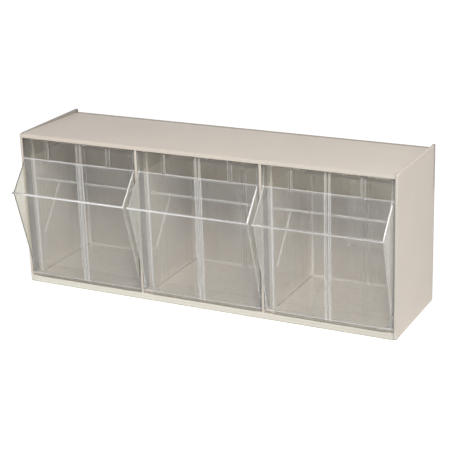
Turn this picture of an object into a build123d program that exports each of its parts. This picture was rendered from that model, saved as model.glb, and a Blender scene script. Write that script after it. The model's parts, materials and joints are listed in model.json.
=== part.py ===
from build123d import *
import math
import os

# A cabinet of three clear tilt-out bins, in millimetres.
# X runs along the cabinet, Y from the front to the back and Z up from the surface it stands on.
# The origin is the middle of the footprint, with the hopper lips counted in its depth.

# Cabinet housing
cabinet_width = 600.0
cabinet_height = 238.0
cabinet_depth = 159.0
end_thickness = 4.0
plate_thickness = 3.0
back_thickness = 3.0
partition_thickness = 3.8
rim_thickness = 4.0
top_rim_height = 6.6
bottom_rim_height = 9.4
plate_fall = 5.5  # the top falls, and the bottom rises, this much on its way to the back
bead_height = 3.5
bead_proud = 0.5

# Joints between the housing's panels
tongue_thickness = 1.4
tongue_reach = 1.8
tongue_end = 12.0
back_seat = 2.0
panel_gap = 0.1
locating_rib_thickness = 1.5
locating_rib_height = 2.0
locating_rib_front = 14.0
locating_rib_back = 146.0

# Housing details
end_front_radius = 0.9
end_foot_radius = 2.5
end_taper_length = 8.0
end_taper_depth = 0.8
rest_rib_thickness = 2.0
rest_rib_spacing = 120.0
rest_rib_front = 104.0
rest_rib_back = 148.0
rest_gap = 0.3
wall_screw_radius = 2.5
wall_screw_height = 203.0

# Bin fronts
bin_names = ("left", "middle", "right")
bin_side_gap = 1.2
bin_top_gap = 1.2
bin_bottom_gap = 1.3
front_skin = 2.2
lip_reach = 38.0  # to the nose of the ledge along the lip
lip_ledge = 2.0
lip_bottom_height = 153.8
lip_top_height = 156.4
lip_nose_radius = 1.2
slope_foot_height = 30.0
crease_height = 200.0
crease_bead_height = 1.6
crease_bead_proud = 0.6
gusset_radius = 2.8
seat_depth = 15.0  # where the front and the tub of a bin meet
corner_radius = 6.0
corner_notch_width = 11.0
corner_notch_height = 3.0
gate_notch_width = 9.0
gate_notch_height = 1.4
gate_notch_depth = 4.0

# Pivot pegs, on the axis of the rounded lower front corner
peg_radius = 2.6
peg_gap = 0.08
peg_reach = 1.2
socket_depth = 1.5

# Label frames
label_half_width = 56.0
label_low_height = 197.5
label_bar = 6.0
label_low_bar = 4.0
label_proud = 1.6
label_inner_radius = 4.0
card_gap = 0.8
card_hold = 3.0

# Divider slots
rib_thickness = 1.6
rib_slot = 4.4
front_rib_depth = 6.0
back_rib_depth = 5.0
back_rib_top = 168.0

# Bin tubs
tub_wall = 2.0
tub_floor = 2.0
tub_inset = 6.8  # how far a tub's side stands inside its front's side
tub_back_depth = 154.5
tub_back_height = 173.5
tub_corner_radius = 4.0
tub_bottom_radius = 1.8
swing_clearance = 0.8
flange_thickness = 2.0
rail_low_height = 163.0
rail_height = 2.5
rail_thickness = 1.5
brace_start = (30.0, 73.0)  # depth and height of the stiffening rib's lower end
brace_end = (78.0, 136.0)
brace_width = 3.0
brace_proud = 1.5

# Places that follow from the sizes above
front_y = (lip_reach - cabinet_depth) / 2
end_inner_x = cabinet_width / 2 - end_thickness
bay_width = (2 * end_inner_x - 2 * partition_thickness) / 3
bay_pitch = bay_width + partition_thickness
bin_centres = {name: (i - 1) * bay_pitch for i, name in enumerate(bin_names)}
top_rim_low = cabinet_height - top_rim_height
front_half_width = bay_width / 2 - bin_side_gap
slope_reach = lip_reach - lip_ledge
bin_bottom = bottom_rim_height + bin_bottom_gap
bin_top = top_rim_low - bin_top_gap
pivot_depth = corner_radius
pivot_height = bin_bottom + corner_radius
tub_half_width = front_half_width - tub_inset
tub_back_inside = tub_back_depth - tub_wall
rib_offset = (rib_slot + rib_thickness) / 2
rim_reach = math.hypot(pivot_depth - rim_thickness, top_rim_low - pivot_height)
swing_radius = rim_reach - swing_clearance
beyond = 10.0  # how far a cut runs past the piece that it opens


def at(depth, height):
    """A point on a YZ plane, by its depth behind the cabinet's front and its height."""
    return (front_y + depth, height)


def save(part, name):
    part.label = name
    export_step(part, f"parts/{name}.step")


def outline(points):
    """A closed sketch through points, for a plane that its user chooses."""
    with BuildSketch() as side_view:
        with BuildLine():
            Polyline(*points, close=True)
        make_face()
    return side_view.sketch


def plate_face(depth, upper):
    """Height of the outer face of the top plate, or of the bottom plate, at a depth."""
    drift = plate_fall * (depth - rim_thickness) / (cabinet_depth - rim_thickness)
    return cabinet_height - drift if upper else drift


def plate_point(depth, below, upper):
    """A point a given way below the outer face of a plate, towards the inside of the cabinet."""
    inward = -1 if upper else 1
    return at(depth, plate_face(depth, upper) + inward * below)


def plate_strip(start, end, near, far, upper):
    """A band along a plate, between two distances below its outer face."""
    corners = ((start, near), (end, near), (end, far), (start, far))
    return outline([plate_point(depth, below, upper) for depth, below in corners])


def rim_outline(upper):
    """The front rim with its bead, and the flat that the rim stands on."""
    edge = top_rim_low if upper else bottom_rim_height
    face = cabinet_height if upper else 0
    inward = 1 if upper else -1
    return outline(
        [
            at(0, edge),
            at(-bead_proud, edge + inward * bead_proud),
            at(-bead_proud, edge + inward * bead_height),
            at(0, edge + inward * (bead_height + bead_proud)),
            at(0, face),
            at(rim_thickness, face),
            at(rim_thickness, edge),
        ]
    )


def tongue_outline(upper, gap):
    near = (plate_thickness - tongue_thickness) / 2
    return plate_strip(
        tongue_end - gap,
        cabinet_depth - tongue_end + gap,
        near - gap,
        plate_thickness - near + gap,
        upper,
    )


def plate(upper):
    """The top or the bottom of the cabinet: rim, sloping plate, tongues and locating ribs."""
    with BuildPart() as panel:
        with BuildSketch(Plane.YZ.offset(-end_inner_x)):
            add(rim_outline(upper))
            add(plate_strip(rim_thickness, cabinet_depth, 0, plate_thickness, upper))
        extrude(amount=2 * end_inner_x)
        with BuildSketch(Plane.YZ.offset(-end_inner_x - tongue_reach)):
            add(tongue_outline(upper, 0))
        extrude(amount=2 * (end_inner_x + tongue_reach))
        for side in (-1, 1):
            for edge in (-1, 1):
                seat = partition_thickness / 2 + panel_gap
                inner = side * bay_pitch / 2 + edge * seat
                low, high = plate_thickness / 2, plate_thickness + locating_rib_height
                with BuildSketch(Plane.YZ.offset(inner)):
                    add(plate_strip(locating_rib_front, locating_rib_back, low, high, upper))
                extrude(amount=edge * locating_rib_thickness)
        if not upper:
            rest_rib = outline(
                [
                    plate_point(rest_rib_front, plate_thickness / 2, upper),
                    plate_point(rest_rib_back, plate_thickness / 2, upper),
                    at(rest_rib_back, bin_bottom - rest_gap),
                    at(rest_rib_front, bin_bottom - rest_gap),
                ]
            )
            reach = rest_rib_spacing / 2
            for x in [centre + side * reach for centre in bin_centres.values() for side in (-1, 1)]:
                with BuildSketch(Plane.YZ.offset(x - rest_rib_thickness / 2)):
                    add(rest_rib)
                extrude(amount=rest_rib_thickness)
    return panel.part


def end_panel(side):
    """An end of the cabinet, as high as the front rims all the way to the back."""
    inner_x = side * end_inner_x
    outer_x = side * cabinet_width / 2
    with BuildPart() as panel:
        with BuildSketch(Plane.YZ.offset(inner_x)) as side_view:
            with Locations(at(cabinet_depth / 2, cabinet_height / 2)):
                Rectangle(cabinet_depth, cabinet_height)
            fillet(side_view.vertices(), end_foot_radius)
        extrude(amount=side * end_thickness)
        front_edges = panel.edges().filter_by(Axis.Z).sort_by(Axis.Y)[:2]
        fillet(front_edges, end_front_radius)
        with BuildSketch():
            with BuildLine():
                back_y = front_y + cabinet_depth
                Polyline(
                    (outer_x, back_y - end_taper_length),
                    (outer_x + side * beyond, back_y - end_taper_length),
                    (outer_x + side * beyond, back_y + beyond),
                    (outer_x - side * end_taper_depth, back_y + beyond),
                    (outer_x - side * end_taper_depth, back_y),
                    close=True,
                )
            make_face()
        extrude(amount=cabinet_height, mode=Mode.SUBTRACT)
        for upper in (True, False):
            with BuildSketch(Plane.YZ.offset(inner_x)):
                add(tongue_outline(upper, panel_gap))
            extrude(amount=side * (tongue_reach + panel_gap), mode=Mode.SUBTRACT)
        with BuildSketch(Plane.YZ.offset(inner_x)):
            add(back_outline(beyond))
        extrude(amount=side * back_seat, mode=Mode.SUBTRACT)
        with BuildSketch(Plane.YZ.offset(inner_x)):
            with Locations(at(pivot_depth, pivot_height)):
                Circle(peg_radius + peg_gap)
        extrude(amount=side * socket_depth, mode=Mode.SUBTRACT)
    return panel.part


def back_outline(extra):
    """The back's section between the plates, run on behind the cabinet by extra."""
    front = cabinet_depth - back_thickness
    return outline(
        [
            plate_point(front, plate_thickness, True),
            plate_point(cabinet_depth + extra, plate_thickness, True),
            plate_point(cabinet_depth + extra, plate_thickness, False),
            plate_point(front, plate_thickness, False),
        ]
    )


def back_panel():
    """The back, let into the end panels, with a screw hole behind each outer bin."""
    half_width = end_inner_x + back_seat
    with BuildPart() as panel:
        with BuildSketch(Plane.YZ.offset(-half_width)):
            add(back_outline(0))
        extrude(amount=2 * half_width)
        with BuildSketch(Plane.XZ.offset(-(front_y + cabinet_depth))):
            with Locations((-bay_pitch, wall_screw_height), (bay_pitch, wall_screw_height)):
                Circle(wall_screw_radius)
        extrude(amount=back_thickness, mode=Mode.SUBTRACT)
    return panel.part


def partition(side):
    """The wall between two bins, notched round both front rims, with a socket in each face."""
    back = cabinet_depth - back_thickness
    near_x = side * bay_pitch / 2 - partition_thickness / 2
    with BuildPart() as wall:
        with BuildSketch(Plane.YZ.offset(near_x)):
            add(
                outline(
                    [
                        at(0, bottom_rim_height),
                        at(rim_thickness, bottom_rim_height),
                        plate_point(rim_thickness, plate_thickness, False),
                        plate_point(back, plate_thickness, False),
                        plate_point(back, plate_thickness, True),
                        plate_point(rim_thickness, plate_thickness, True),
                        at(rim_thickness, top_rim_low),
                        at(0, top_rim_low),
                    ]
                )
            )
        extrude(amount=partition_thickness)
        for face_x, inward in ((near_x, 1), (near_x + partition_thickness, -1)):
            with BuildSketch(Plane.YZ.offset(face_x)):
                with Locations(at(pivot_depth, pivot_height)):
                    Circle(peg_radius + peg_gap)
            extrude(amount=inward * socket_depth, mode=Mode.SUBTRACT)
    return wall.part


def hopper_outline(rear, top):
    """Side view of a bin front: rounded foot, lower slope, lip, upper slope and label panel."""
    with BuildSketch() as side_view:
        with BuildLine():
            Line(at(rear, bin_bottom), at(pivot_depth, bin_bottom))
            TangentArc(at(pivot_depth, bin_bottom), at(0, pivot_height), tangent=(-1, 0))
            Polyline(
                at(0, pivot_height),
                at(0, slope_foot_height),
                at(-slope_reach, lip_bottom_height),
                at(-slope_reach, lip_top_height),
                at(0, crease_height),
                at(0, top),
                at(rear, top),
                at(rear, bin_bottom),
            )
        make_face()
    return side_view.sketch


def hopper_block(centre, inset, extra):
    """A solid hopper, inset all round from the front's outside, with rounded gusset edges."""
    half_width = front_half_width - inset
    with BuildPart() as block:
        with BuildSketch(Plane.YZ.offset(centre - half_width)):
            add(hopper_outline(seat_depth + extra, bin_top + extra))
            if inset:
                offset(amount=-inset, kind=Kind.INTERSECTION)
        extrude(amount=2 * half_width)
        rims = block.faces().filter_by(Axis.X).edges()
        slopes = rims.filter_by(lambda edge: edge.center().Y < front_y - front_skin)
        fillet(slopes, gusset_radius - inset)
    return block.part


def bin_front(centre):
    """The hopper-shaped front of a bin, open behind and above."""
    outside = hopper_block(centre, 0, 0)
    hollow = hopper_block(centre, front_skin, beyond)
    face = Plane.XZ.offset(-front_y)
    with BuildPart() as front:
        add(outside)
        add(hollow, mode=Mode.SUBTRACT)
        # Two upright ribs behind the face, across the mouth of the hopper, hold a divider's front edge
        for side in (-1, 1):
            with BuildSketch(Plane.YZ.offset(centre + side * rib_offset - rib_thickness / 2)):
                add(hopper_outline(seat_depth, bin_top))
                with Locations(at(front_rib_depth / 2, cabinet_height / 2)):
                    Rectangle(front_rib_depth, cabinet_height, mode=Mode.INTERSECT)
            extrude(amount=rib_thickness)
        # A ledge with a round nose runs along the lip, and a fine bead along the crease
        ledge_height = lip_top_height - lip_bottom_height
        with BuildSketch(Plane.YZ.offset(centre - front_half_width)) as ledge:
            with Locations(at(-lip_reach, lip_bottom_height + ledge_height / 2)):
                Rectangle(lip_ledge + front_skin / 2, ledge_height, align=(Align.MIN, Align.CENTER))
            fillet(ledge.vertices().group_by(Axis.X)[0], lip_nose_radius)
            with Locations(at(-crease_bead_proud, crease_height)):
                Rectangle(2 * crease_bead_proud, crease_bead_height, align=(Align.MIN, Align.CENTER))
        extrude(amount=2 * front_half_width)
        # The floor steps up over a notch at each lower corner
        step_height = corner_notch_height + front_skin
        step_width = corner_notch_width + front_skin
        for side in (-1, 1):
            with BuildSketch(Plane.YZ.offset(centre + side * (front_half_width - step_width))):
                add(hopper_outline(seat_depth, bin_top))
                with Locations(at(seat_depth / 2, bin_bottom + step_height / 2)):
                    Rectangle(seat_depth, step_height, mode=Mode.INTERSECT)
            extrude(amount=side * step_width)
            with Locations((centre + side * front_half_width, front_y + seat_depth / 2, bin_bottom)):
                Box(2 * corner_notch_width, seat_depth, 2 * corner_notch_height, mode=Mode.SUBTRACT)
        with Locations((centre, front_y, bin_bottom)):
            Box(gate_notch_width, 2 * gate_notch_depth, 2 * gate_notch_height, mode=Mode.SUBTRACT)
        # The label frame is open at the top; its card slides in behind the bars, down to the bead
        with BuildSketch(face.offset(-front_skin / 2)) as frame:
            with Locations((centre, (label_low_height + bin_top) / 2)):
                Rectangle(2 * label_half_width, bin_top - label_low_height)
            with Locations((centre, (label_low_height + label_low_bar + bin_top) / 2)):
                Rectangle(
                    2 * (label_half_width - label_bar),
                    bin_top - label_low_height - label_low_bar,
                    mode=Mode.SUBTRACT,
                )
            fillet(frame.vertices().group_by(Axis.Y)[1], label_inner_radius)
        extrude(amount=front_skin / 2 + label_proud)
        card_low = crease_height + crease_bead_height / 2
        with BuildSketch(face):
            with Locations((centre, (card_low + bin_top) / 2)):
                Rectangle(2 * (label_half_width - label_bar + card_hold), bin_top - card_low)
        extrude(amount=card_gap, mode=Mode.SUBTRACT)
        # Pivot pegs
        for side in (-1, 1):
            with BuildSketch(Plane.YZ.offset(centre + side * (front_half_width - front_skin / 2))):
                with Locations(at(pivot_depth, pivot_height)):
                    Circle(peg_radius)
            extrude(amount=side * (front_skin / 2 + bin_side_gap + peg_reach))
    return front.part


def swing_height(depth):
    """Height of the arc about the pivot that passes clear under the top rim."""
    return pivot_height + math.sqrt(swing_radius**2 - (depth - pivot_depth) ** 2)


def tub_outline():
    """Side view of a tub: its sides are cut to the arc on which they swing under the top rim."""
    arc_start = pivot_depth + math.sqrt(swing_radius**2 - (bin_top - pivot_height) ** 2)
    arc_middle = (arc_start + tub_back_inside) / 2
    with BuildSketch() as side_view:
        with BuildLine():
            Polyline(
                at(tub_back_inside, swing_height(tub_back_inside)),
                at(tub_back_inside, tub_back_height),
                at(tub_back_depth, tub_back_height),
                at(tub_back_depth, bin_bottom),
                at(seat_depth, bin_bottom),
                at(seat_depth, bin_top),
                at(arc_start, bin_top),
            )
            ThreePointArc(
                at(arc_start, bin_top),
                at(arc_middle, swing_height(arc_middle)),
                at(tub_back_inside, swing_height(tub_back_inside)),
            )
        make_face()
    return side_view.sketch


def bin_tub(centre):
    """The tub of a bin: floor, sides, back wall and the flange that carries the front."""
    with BuildPart() as tub:
        with BuildSketch(Plane.YZ.offset(centre - tub_half_width)):
            add(tub_outline())
        extrude(amount=2 * tub_half_width)
        back_corners = tub.faces().sort_by(Axis.Y)[-1].edges().filter_by(Axis.Z)
        fillet(back_corners, tub_corner_radius)
        fillet(tub.faces().sort_by(Axis.Z)[0].edges().filter_by(Axis.Y), tub_bottom_radius)
        with BuildSketch(Plane.XY.offset(bin_bottom + tub_floor)) as cavity:
            with Locations((centre, front_y + tub_back_inside / 2)):
                Rectangle(2 * (tub_half_width - tub_wall), tub_back_inside)
            fillet(cavity.vertices().group_by(Axis.Y)[-1], tub_corner_radius - tub_wall)
        extrude(amount=cabinet_height, mode=Mode.SUBTRACT)
        # The flange on each side, and the rail that ties them across the open front
        flange_low = bin_bottom + corner_notch_height
        flange_width = tub_wall + tub_inset
        with BuildSketch(Plane.XZ.offset(-(front_y + seat_depth + flange_thickness))):
            for side in (-1, 1):
                middle = centre + side * (front_half_width - flange_width / 2)
                with Locations((middle, (flange_low + bin_top) / 2)):
                    Rectangle(flange_width, bin_top - flange_low)
        extrude(amount=flange_thickness)
        with BuildSketch(Plane.XZ.offset(-(front_y + seat_depth + rail_thickness))):
            with Locations((centre, rail_low_height + rail_height / 2)):
                Rectangle(2 * tub_half_width, rail_height)
        extrude(amount=rail_thickness)
        # Two ribs on the back wall that hold a divider's rear edge
        with BuildSketch(Plane.XY.offset(bin_bottom + tub_floor / 2)):
            rib_y = front_y + tub_back_inside - back_rib_depth / 2
            with Locations((centre - rib_offset, rib_y), (centre + rib_offset, rib_y)):
                Rectangle(rib_thickness, back_rib_depth)
        extrude(amount=back_rib_top - bin_bottom - tub_floor / 2)
        # A slanting rib stiffens the outside of each side
        run = brace_end[0] - brace_start[0]
        rise = brace_end[1] - brace_start[1]
        middle = at(brace_start[0] + run / 2, brace_start[1] + rise / 2)
        for side in (-1, 1):
            with BuildSketch(Plane.YZ.offset(centre + side * (tub_half_width - tub_wall / 2))):
                with Locations(middle):
                    SlotCenterToCenter(
                        math.hypot(run, rise), brace_width, rotation=math.degrees(math.atan2(rise, run))
                    )
            extrude(amount=side * (tub_wall / 2 + brace_proud))
    return tub.part


os.makedirs("parts", exist_ok=True)
save(plate(True), "top_panel")
save(plate(False), "bottom_panel")
save(back_panel(), "back_panel")
for side, name in ((-1, "left"), (1, "right")):
    save(end_panel(side), f"{name}_end_panel")
    save(partition(side), f"{name}_partition")
for name, centre in bin_centres.items():
    save(bin_front(centre), f"{name}_bin_front")
    save(bin_tub(centre), f"{name}_bin_tub")
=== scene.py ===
import json
import math

import bpy
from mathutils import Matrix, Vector

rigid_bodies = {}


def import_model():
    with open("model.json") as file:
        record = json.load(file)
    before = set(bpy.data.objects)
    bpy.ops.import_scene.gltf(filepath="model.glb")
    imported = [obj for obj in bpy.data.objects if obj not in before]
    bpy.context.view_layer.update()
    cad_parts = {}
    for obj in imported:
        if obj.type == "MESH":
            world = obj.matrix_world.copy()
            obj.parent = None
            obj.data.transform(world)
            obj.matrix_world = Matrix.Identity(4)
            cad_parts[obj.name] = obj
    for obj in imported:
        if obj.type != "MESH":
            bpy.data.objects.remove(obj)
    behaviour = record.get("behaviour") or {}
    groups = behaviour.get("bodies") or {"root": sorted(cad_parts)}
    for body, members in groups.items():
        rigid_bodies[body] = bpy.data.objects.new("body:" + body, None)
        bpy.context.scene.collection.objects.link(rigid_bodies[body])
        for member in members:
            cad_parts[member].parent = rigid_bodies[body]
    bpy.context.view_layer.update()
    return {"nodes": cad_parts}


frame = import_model()
for shown in bpy.data.objects:
    shown.select_set(False)

nodes = frame["nodes"]


# Places on the object, in metres from the middle of its footprint. A pair is where something
# begins and ends, or where a mask starts and stops fading. Aside is the distance to the left or
# right of the middle of a point's own bin.

bin_half_pitch = 0.0993

housing_front_y = (-0.0600, -0.0590)
behind_front_y = (-0.0590, -0.0570)
near_front_y = (-0.045, -0.040)
back_panel_y = (0.0900, 0.0970)
lower_rim_z = (0.0094, 0.0125)
above_tubs_z = (0.1720, 0.1745)
raised_edge_z = (0.2315, 0.2330)
left_end_edge_x = (-0.2996, -0.2956)
gap_reach = 0.004

bin_face_y = (-0.0605, -0.0590)
foot_z = (0.0105, 0.0160)
label_z = (0.2, 0.2015)
label_top_z = (0.2275, 0.2285)
bead_z = (0.1991, 0.2009)
lip_z = (0.1537, 0.1565)
above_lip_z = (0.153, 0.157)
lip_nose_y = (-0.0955, -0.0945)
hopper_y = (-0.0635, -0.062)
cheek_y = (-0.0625, -0.0615)
cheek_z = (0.06, 0.16)
cheek_corner_aside = (0.0939, 0.0955)
cheek_outline_aside = (0.0934, 0.0940)
cheek_aside = (0.0932, 0.0937)
leftmost_cheek_x = (-0.2920, -0.2910)
leftmost_lip_x = (-0.285, -0.268)
divider_rib_y = (-0.0580, -0.0540)
divider_rib_aside = (0.0020, 0.0040)
flange_front_y = (-0.0458, -0.0452)
flange_back_y = (-0.044, -0.043)
past_flange_y = (-0.043, -0.042)
flange_line_aside = (0.0872, 0.0905)
flange_aside = (0.0905, 0.0960)
tub_front_y = (-0.040, -0.035)
tub_back_y = (0.0893, 0.0900)
tub_back_corner_aside = (0.0848, 0.0900)
tub_back_top_z = (0.1722, 0.1740)
tub_back_foot_z = (0.0126, 0.0148)
tub_wall_foot_z = (0.0122, 0.0146)
tub_wall_aside = (0.0862, 0.0878)
brace_aside = (0.0896, 0.0899)
brace_y = (-0.042, -0.041)

# How softly a line's sides fade, in metres
crisp = 0.0002
fine = 0.0003
soft = 0.0004
wide = 0.0006

# Where a tone changes from left to right along the cabinet, as the photograph's light does
whole_width_x = (-0.3, 0.3)
dulling_x = (-0.25, 0.3)
bead_fading_x = (-0.28, 0.25)
lip_fading_x = (-0.15, 0.15)
corner_fading_x = (-0.09, 0.08)
label_fading_x = (-0.3, 0.25)

# Colours
stone = (0.635, 0.564, 0.488)
light_stone = (0.667, 0.594, 0.517)
# Painted shade on the housing's front faces, darker towards the right
front_shade_stone = (0.494, 0.457, 0.402)
# Painted shade on the back panel above the tubs
shaded_stone = (0.36, 0.315, 0.265)
# Painted shade on the left end's raised edge
shaded_edge = (0.24, 0.22, 0.20)
# Painted light on the lower rim's front
lit_rim = (0.82, 0.80, 0.71)
# Painted shade in the tight gaps round the bins
gap_shade = (0.10, 0.095, 0.085)
clear_tint = (0.962, 0.957, 0.94)
# Painted shade on the label panels, darker towards the left
left_label_shade = (0.63, 0.59, 0.50)
right_label_shade = (0.79, 0.75, 0.64)
# Haze, and painted highlights on the clear pieces' edges and lines
haze_and_highlight_white = (0.92, 0.9, 0.91)
cheek_cream = (0.62, 0.60, 0.54)
leftmost_cream = (0.64, 0.56, 0.38)
# Painted highlight: a dim soft line along the brace
brace_highlight_grey = (0.70, 0.68, 0.64)
# Painted shade on dark lines at the clear edges
outline_shade = (0.10, 0.10, 0.095)
passing_light = (0.9, 0.905, 0.9)
white = (1, 1, 1)

polystyrene_ior = 1.5
edge_samples = 6


# Camera, from seven cabinet corners of the photograph

camera_data = bpy.data.cameras.new("photo_camera")
camera_data.lens = 107.26
camera_data.sensor_width = 36.0
camera_data.clip_start, camera_data.clip_end = 0.05, 60.0
camera = bpy.data.objects.new("photo_camera", camera_data)
bpy.context.scene.collection.objects.link(camera)
camera.location = (0.862597, -1.658650, 0.765095)
camera.rotation_euler = [math.radians(turn) for turn in (70.67518, 1.83098, 26.52090)]
bpy.context.scene.camera = camera
bpy.context.scene.view_settings.view_transform = "Standard"

# Light crosses many walls of clear plastic, and is turned back inside them
cycles = bpy.context.scene.cycles
cycles.max_bounces = 24
cycles.transmission_bounces = 24
cycles.glossy_bounces = 16
cycles.transparent_max_bounces = 32


# Node helpers

def new_material(name):
    material = bpy.data.materials.new(name)
    material.use_nodes = True
    tree = material.node_tree
    tree.nodes.clear()
    return material, tree


def node(tree, kind, **settings):
    made = tree.nodes.new(kind)
    for name, value in settings.items():
        setattr(made, name, value)
    return made


def link(tree, source, target):
    tree.links.new(source, target)


def feed(tree, target, value):
    """Sets an input to a number or a colour, or links an output to it."""
    if isinstance(value, (int, float)):
        target.default_value = value
    elif isinstance(value, tuple):
        target.default_value = (*value, 1)
    else:
        link(tree, value, target)


def noise(tree, vector, scale, detail):
    """Soft noise whose features are about 1 / scale metres across."""
    made = node(tree, "ShaderNodeTexNoise")
    made.inputs["Scale"].default_value = scale
    made.inputs["Detail"].default_value = detail
    link(tree, vector, made.inputs["Vector"])
    return made.outputs["Fac"]


def maths(tree, operation, first, second):
    made = node(tree, "ShaderNodeMath", operation=operation)
    feed(tree, made.inputs[0], first)
    feed(tree, made.inputs[1], second)
    return made.outputs[0]


def unsigned(tree, value):
    made = node(tree, "ShaderNodeMath", operation="ABSOLUTE")
    link(tree, value, made.inputs[0])
    return made.outputs[0]


def spread(tree, source, low, high, to_low, to_high):
    """The source's low to high, carried over to to_low to to_high and held there."""
    made = node(tree, "ShaderNodeMapRange")
    made.inputs["From Min"].default_value = low
    made.inputs["From Max"].default_value = high
    made.inputs["To Min"].default_value = to_low
    made.inputs["To Max"].default_value = to_high
    link(tree, source, made.inputs["Value"])
    return made.outputs[0]


def noise_range(tree, source, low, high):
    """A noise's usual values, carried over to low to high."""
    return spread(tree, source, 0.3, 0.7, low, high)


def within(tree, source, low, high, fade):
    """1 where the source lies between low and high, falling to 0 over fade on either side."""
    rise = spread(tree, source, low - fade, low + fade, 0.0, 1.0)
    fall = spread(tree, source, high - fade, high + fade, 1.0, 0.0)
    return maths(tree, "MULTIPLY", rise, fall)


def among(tree, *masks):
    """The largest of the masks."""
    found = masks[0]
    for mask in masks[1:]:
        found = maths(tree, "MAXIMUM", found, mask)
    return found


def together(tree, *masks):
    """The masks multiplied."""
    found = masks[0]
    for mask in masks[1:]:
        found = maths(tree, "MULTIPLY", found, mask)
    return found


def either(tree, *kinds):
    """1 for a ray of any of the kinds, else 0."""
    path = node(tree, "ShaderNodeLightPath")
    return among(tree, *(path.outputs[kind] for kind in kinds))


def seen_ray(tree):
    """1 for a ray that the camera, glass or a glossy surface sees by, else 0."""
    return either(tree, "Is Camera Ray", "Is Transmission Ray", "Is Glossy Ray")


def tinted(tree, base, colour, share):
    """The base colour, mixed with another by share."""
    made = node(tree, "ShaderNodeMix", data_type="RGBA")
    feed(tree, made.inputs["A"], base)
    feed(tree, made.inputs["B"], colour)
    link(tree, share, made.inputs["Factor"])
    return made.outputs["Result"]


def shader(tree, kind, colour):
    made = node(tree, kind)
    feed(tree, made.inputs["Color"], colour)
    return made.outputs[0]


def blend_shader(tree, share, first, second):
    made = node(tree, "ShaderNodeMixShader")
    link(tree, share, made.inputs[0])
    link(tree, first, made.inputs[1])
    link(tree, second, made.inputs[2])
    return made.outputs[0]


def rounded_normal(tree, radius):
    """The surface's normal, turned as if its edges were rounded."""
    made = node(tree, "ShaderNodeBevel", samples=edge_samples)
    made.inputs["Radius"].default_value = radius
    return made.outputs[0]


def bumped(tree, height, strength, distance):
    made = node(tree, "ShaderNodeBump")
    made.inputs["Strength"].default_value = strength
    made.inputs["Distance"].default_value = distance
    link(tree, height, made.inputs["Height"])
    return made


def split(tree, vector):
    """A vector's x, y and z."""
    made = node(tree, "ShaderNodeSeparateXYZ")
    link(tree, vector, made.inputs[0])
    return made.outputs["X"], made.outputs["Y"], made.outputs["Z"]


def object_place(tree):
    return node(tree, "ShaderNodeTexCoord").outputs["Object"]


# The housing's plastic

def housing_colour(tree, place):
    """Mottled stone, with painted shade on the front faces towards the right, on the back panel
    above the tubs, on the left end's raised edge and in the gaps round the bins, and painted light
    on the lower rim towards the left.
    """
    x, y, z = split(tree, place)
    mottle = noise(tree, place, 14.0, 3.0)
    colour = tinted(tree, stone, light_stone, noise_range(tree, mottle, 0.0, 1.0))
    on_front = spread(tree, y, *housing_front_y, 1.0, 0.0)

    # Painted shade: the front faces grow darker towards the right
    rightward = spread(tree, x, *dulling_x, 0.0, 1.0)
    front_shade = together(tree, on_front, rightward)

    # Painted shade on the back panel above the tubs
    on_back = within(tree, y, *back_panel_y, 0.0005)
    above_tubs = together(tree, on_back, spread(tree, z, *above_tubs_z, 0.0, 1.0))

    # Painted shade on the left end's raised edge, behind the front
    raised = spread(tree, z, *raised_edge_z, 0.0, 0.75)
    at_left_end = within(tree, x, *left_end_edge_x, crisp)
    behind_front = spread(tree, y, *behind_front_y, 0.0, 1.0)
    raised_left_edge = together(tree, raised, at_left_end, behind_front)

    # Painted light: the lower rim's front is paler, more so towards the left
    low = spread(tree, z, *lower_rim_z, 1.0, 0.0)
    leftward = spread(tree, x, *whole_width_x, 0.9, 0.25)
    lower_rim = together(tree, low, on_front, leftward)

    # Painted shade in the tight gaps round the bins, near the front
    closeness = node(tree, "ShaderNodeAmbientOcclusion", samples=edge_samples)
    closeness.inputs["Distance"].default_value = gap_reach
    shut_in = spread(tree, closeness.outputs["AO"], 0.45, 0.75, 0.75, 0.0)
    shade_in_gaps = together(tree, spread(tree, y, *near_front_y, 1.0, 0.0), shut_in)

    tones = (
        (front_shade_stone, front_shade),
        (shaded_stone, above_tubs),
        (shaded_edge, raised_left_edge),
        (lit_rim, lower_rim),
        (gap_shade, shade_in_gaps),
    )
    for tone, share in tones:
        colour = tinted(tree, colour, tone, share)
    return colour


def housing_material():
    """Stone-coloured moulded plastic with a fine grain, slight mottling and softened edges."""
    material, tree = new_material("stone_housing_plastic")
    out = node(tree, "ShaderNodeOutputMaterial")
    skin = node(tree, "ShaderNodeBsdfPrincipled")
    place = object_place(tree)
    link(tree, housing_colour(tree, place), skin.inputs["Base Color"])
    grain = noise(tree, place, 900.0, 2.0)
    link(tree, noise_range(tree, grain, 0.38, 0.5), skin.inputs["Roughness"])
    bump = bumped(tree, grain, 0.35, 0.00012)
    link(tree, rounded_normal(tree, 0.0006), bump.inputs["Normal"])
    link(tree, bump.outputs[0], skin.inputs["Normal"])
    skin.inputs["IOR"].default_value = polystyrene_ior
    skin.inputs["Specular IOR Level"].default_value = 0.25
    link(tree, skin.outputs[0], out.inputs["Surface"])
    return material


# The bins' plastic

def aside_of(tree, x):
    """How far x lies from the middle of its own bin."""
    wrapped = node(tree, "ShaderNodeMath", operation="WRAP")
    link(tree, x, wrapped.inputs[0])
    wrapped.inputs[1].default_value = bin_half_pitch
    wrapped.inputs[2].default_value = -bin_half_pitch
    return unsigned(tree, wrapped.outputs[0])


def cut_edges(tree, normal, y, z):
    """The pieces' own sharp edges, where highlight is painted, fainter at the top and within the
    tub.
    """
    turned = node(tree, "ShaderNodeVectorMath", operation="DOT_PRODUCT")
    link(tree, rounded_normal(tree, 0.0014), turned.inputs[0])
    link(tree, normal, turned.inputs[1])
    sharp = spread(tree, turned.outputs["Value"], 0.8, 0.985, 0.5, 0.0)
    below_top = spread(tree, z, *label_top_z, 1.0, 0.1)
    before_tub = spread(tree, y, *past_flange_y, 1.0, 0.4)
    return together(tree, sharp, below_top, before_tub)


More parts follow.
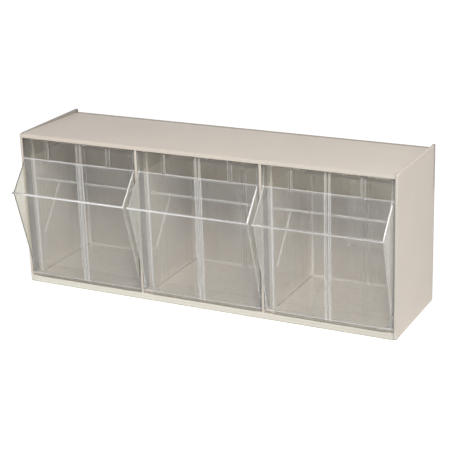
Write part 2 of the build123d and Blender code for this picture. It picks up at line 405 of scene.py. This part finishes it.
def front_lines(tree, x, y, z, aside):
    """Painted highlight lines across a bin's front: the lip's ledge, the crease's bead, the foot
    and the ribs.
    """
    at_nose = spread(tree, y, *lip_nose_y, 0.6, 0.0)
    rightward = spread(tree, x, *lip_fading_x, 1.3, 0.45)
    past_left_end = spread(tree, x, *leftmost_lip_x, 0.35, 1.0)
    ledge = together(tree, within(tree, z, *lip_z, crisp), at_nose, rightward, past_left_end)

    at_face = spread(tree, y, *bin_face_y, 0.45, 0.0)
    dimming = spread(tree, x, *bead_fading_x, 1.0, 0.28)
    bead = together(tree, within(tree, z, *bead_z, crisp), at_face, dimming)
    foot = together(tree, within(tree, z, *foot_z, wide), at_face)

    on_rib = together(
        tree,
        within(tree, aside, *divider_rib_aside, crisp),
        within(tree, y, *divider_rib_y, fine),
    )
    return among(tree, ledge, bead, foot, maths(tree, "MULTIPLY", on_rib, 0.4))


def tub_lines(tree, y, z, aside, forward):
    """Painted highlight lines of a tub: its flange, and the corners, top and foot of its back
    wall.
    """
    on_flange = together(
        tree,
        spread(tree, y, *flange_front_y, 0.0, 0.8),
        spread(tree, y, *flange_back_y, 1.0, 0.0),
        forward,
    )
    flange_line = together(tree, within(tree, aside, *flange_line_aside, soft), on_flange)
    flange = together(tree, within(tree, aside, *flange_aside, soft), on_flange)

    on_back = spread(tree, y, *tub_back_y, 0.0, 0.42)
    corner = together(tree, within(tree, aside, *tub_back_corner_aside, wide), on_back)
    top = together(tree, within(tree, z, *tub_back_top_z, crisp), on_back)
    foot = together(tree, within(tree, z, *tub_back_foot_z, soft), on_back)
    return among(
        tree, flange_line, maths(tree, "MULTIPLY", flange, 0.2), corner, top, foot
    )


def edge_masks(tree, x, y, z, aside, normal):
    """Shares of a point's look: painted highlight on its edges and lines, painted shade on dark
    lines, and the leftmost cheek.
    """
    _, facing_y, _ = split(tree, normal)
    forward = spread(tree, facing_y, -0.25, -0.1, 1.0, 0.0)
    in_hopper = spread(tree, y, *hopper_y, 1.0, 0.0)
    inward = spread(tree, x, *leftmost_cheek_x, 0.0, 1.0)
    leftmost = maths(tree, "SUBTRACT", 1.0, inward)

    cheek_corner = together(
        tree,
        within(tree, aside, *cheek_corner_aside, fine),
        forward,
        in_hopper,
        spread(tree, z, *above_lip_z, 0.1, 0.55),
        spread(tree, x, *corner_fading_x, 0.5, 1.0),
    )
    edges = together(tree, among(tree, cut_edges(tree, normal, y, z), cheek_corner), inward)
    highlight_share = among(
        tree,
        edges,
        front_lines(tree, x, y, z, aside),
        tub_lines(tree, y, z, aside, forward),
    )

    # Painted shade: dark lines along the leftmost cheek's outline and at the foot of the tub walls
    on_outline = spread(tree, aside, *cheek_outline_aside, 0.0, 0.85)
    outline = together(tree, on_outline, forward, leftmost, in_hopper)
    wall_foot = together(
        tree,
        within(tree, aside, *tub_wall_aside, fine),
        within(tree, z, *tub_wall_foot_z, soft),
        spread(tree, y, *tub_front_y, 0.0, 0.35),
    )
    return highlight_share, among(tree, outline, wall_foot), leftmost


def clear_skin(tree, place, cloud, x, z):
    """The clear plastic itself, with painted shade on the label panels, darker towards the left,
    and a mould's faint waver.
    """
    skin = node(tree, "ShaderNodeBsdfPrincipled")
    # Painted shade on the label panels, darker towards the left
    rightward = spread(tree, x, *label_fading_x, 0.0, 1.0)
    label_shade = tinted(tree, left_label_shade, right_label_shade, rightward)
    on_label = spread(tree, z, *label_z, 0.0, 1.0)
    link(tree, tinted(tree, clear_tint, label_shade, on_label), skin.inputs["Base Color"])
    skin.inputs["IOR"].default_value = polystyrene_ior
    skin.inputs["Transmission Weight"].default_value = 1.0
    link(tree, noise_range(tree, cloud, 0.01, 0.04), skin.inputs["Roughness"])
    waver = bumped(tree, noise(tree, place, 45.0, 1.0), 0.3, 0.0004)
    link(tree, waver.outputs[0], skin.inputs["Normal"])
    return skin.outputs[0]


def haze_share(tree, place, cloud, y):
    """Cloudy haze, with upright streaks of painted highlight that are stronger in the tubs."""
    upright = node(tree, "ShaderNodeVectorMath", operation="MULTIPLY")
    upright.inputs[1].default_value = (1.0, 1.0, 0.04)
    link(tree, place, upright.inputs[0])
    streak = spread(tree, noise(tree, upright.outputs[0], 110.0, 2.0), 0.52, 0.68, 0.0, 0.06)
    in_tub = spread(tree, y, *tub_front_y, 0.3, 1.0)
    haze = noise_range(tree, cloud, 0.012, 0.035)
    return maths(tree, "ADD", haze, together(tree, streak, in_tub))


def cheek_share(tree, cloud, y, z, aside, normal, leftmost):
    """The film on the hopper's cheeks, thicker low on the leftmost one and thinner at its top."""
    facing_x, _, _ = split(tree, normal)
    facing_aside = unsigned(tree, facing_x)
    more = together(tree, leftmost, spread(tree, z, *cheek_z, 0.22, -0.04))
    film = maths(tree, "ADD", noise_range(tree, cloud, 0.31, 0.36), more)
    return together(
        tree,
        spread(tree, aside, *cheek_aside, 0.0, 1.0),
        spread(tree, facing_aside, 0.5, 0.8, 0.0, 1.0),
        spread(tree, y, *cheek_y, 1.0, 0.0),
        film,
    )


def clear_material():
    """Clear polystyrene: faint tint, haze and waver, with painted highlights on its edges and
    lines, and painted shade on dark lines and on the label panels.
    """
    material, tree = new_material("clear_bin_plastic")
    out = node(tree, "ShaderNodeOutputMaterial")
    place = object_place(tree)
    normal = node(tree, "ShaderNodeNewGeometry").outputs["True Normal"]
    x, y, z = split(tree, place)
    aside = aside_of(tree, x)
    cloud = noise(tree, place, 35.0, 4.0)
    highlight_share, line_shade, leftmost = edge_masks(tree, x, y, z, aside, normal)
    # Painted highlight: a dim soft line along the brace
    brace = together(
        tree,
        spread(tree, aside, *brace_aside, 0.0, 0.55),
        spread(tree, y, *brace_y, 0.0, 1.0),
    )
    # Haze with painted highlights, the cheeks' film, a painted highlight on the brace and painted
    # shade on dark lines
    layers = (
        (haze_and_highlight_white, among(tree, haze_share(tree, place, cloud, y), highlight_share)),
        (
            tinted(tree, cheek_cream, leftmost_cream, leftmost),
            cheek_share(tree, cloud, y, z, aside, normal, leftmost),
        ),
        (brace_highlight_grey, brace),
        (outline_shade, line_shade),
    )
    pane = clear_skin(tree, place, cloud, x, z)
    for colour, share in layers:
        pane = blend_shader(tree, share, pane, shader(tree, "ShaderNodeBsdfDiffuse", colour))

    # Lamps, and light scattered by what lies behind the plastic, pass straight through it
    unshaded = shader(tree, "ShaderNodeBsdfTransparent", passing_light)
    for kind in ("Is Shadow Ray", "Is Diffuse Ray"):
        pane = blend_shader(tree, either(tree, kind), pane, unshaded)
    link(tree, pane, out.inputs["Surface"])
    return material


housing = housing_material()
clear = clear_material()
for name, shape in nodes.items():
    shape.data.materials.clear()
    shape.data.materials.append(clear if "_bin_" in name else housing)


# White floor and world, which look white but light the object only softly

def backdrop_light(tree, strength):
    made = node(tree, "ShaderNodeBackground")
    feed(tree, made.inputs["Color"], white)
    made.inputs["Strength"].default_value = strength
    return made.outputs[0]


def white_world():
    world = bpy.data.worlds.new("white_room")
    bpy.context.scene.world = world
    world.use_nodes = True
    tree = world.node_tree
    tree.nodes.clear()
    out = node(tree, "ShaderNodeOutputWorld")
    room = blend_shader(
        tree, seen_ray(tree), backdrop_light(tree, 0.1), backdrop_light(tree, 1.0)
    )
    link(tree, room, out.inputs["Surface"])


def white_floor():
    """Paper that keeps the object's shadow, with a glow that grows away from the object."""
    bpy.ops.mesh.primitive_plane_add(size=30.0, location=(0, 0, 0))
    floor = bpy.context.object
    floor.name = "studio_floor"
    material, tree = new_material("white_floor")
    out = node(tree, "ShaderNodeOutputMaterial")
    away = node(tree, "ShaderNodeVectorMath", operation="LENGTH")
    link(tree, object_place(tree), away.inputs[0])
    glow = node(tree, "ShaderNodeEmission")
    strength = spread(tree, away.outputs["Value"], 0.5, 3.0, 0.88, 0.96)
    link(tree, strength, glow.inputs["Strength"])
    glowing_paper = node(tree, "ShaderNodeAddShader")
    seen_paper = shader(tree, "ShaderNodeBsdfDiffuse", (0.45, 0.45, 0.45))
    link(tree, seen_paper, glowing_paper.inputs[0])
    link(tree, glow.outputs[0], glowing_paper.inputs[1])
    lit_paper = shader(tree, "ShaderNodeBsdfDiffuse", (0.8, 0.8, 0.8))
    paper = blend_shader(tree, seen_ray(tree), lit_paper, glowing_paper.outputs[0])
    link(tree, paper, out.inputs["Surface"])
    floor.data.materials.append(material)


def soft_lamp(name, place, power):
    """A round softbox that faces the middle of the object."""
    data = bpy.data.lights.new(name, "AREA")
    data.shape = "DISK"
    data.size = 0.8
    data.energy = power
    lamp = bpy.data.objects.new(name, data)
    bpy.context.scene.collection.objects.link(lamp)
    lamp.location = place
    towards = Vector((0, 0, 0.12)) - Vector(place)
    lamp.rotation_euler = towards.to_track_quat("-Z", "Y").to_euler()


white_world()
white_floor()
soft_lamp("high_softbox", (0.65, -1.25, 1.6), 38.5)
soft_lamp("side_softbox", (1.8, -1.25, 0.65), 15.5)
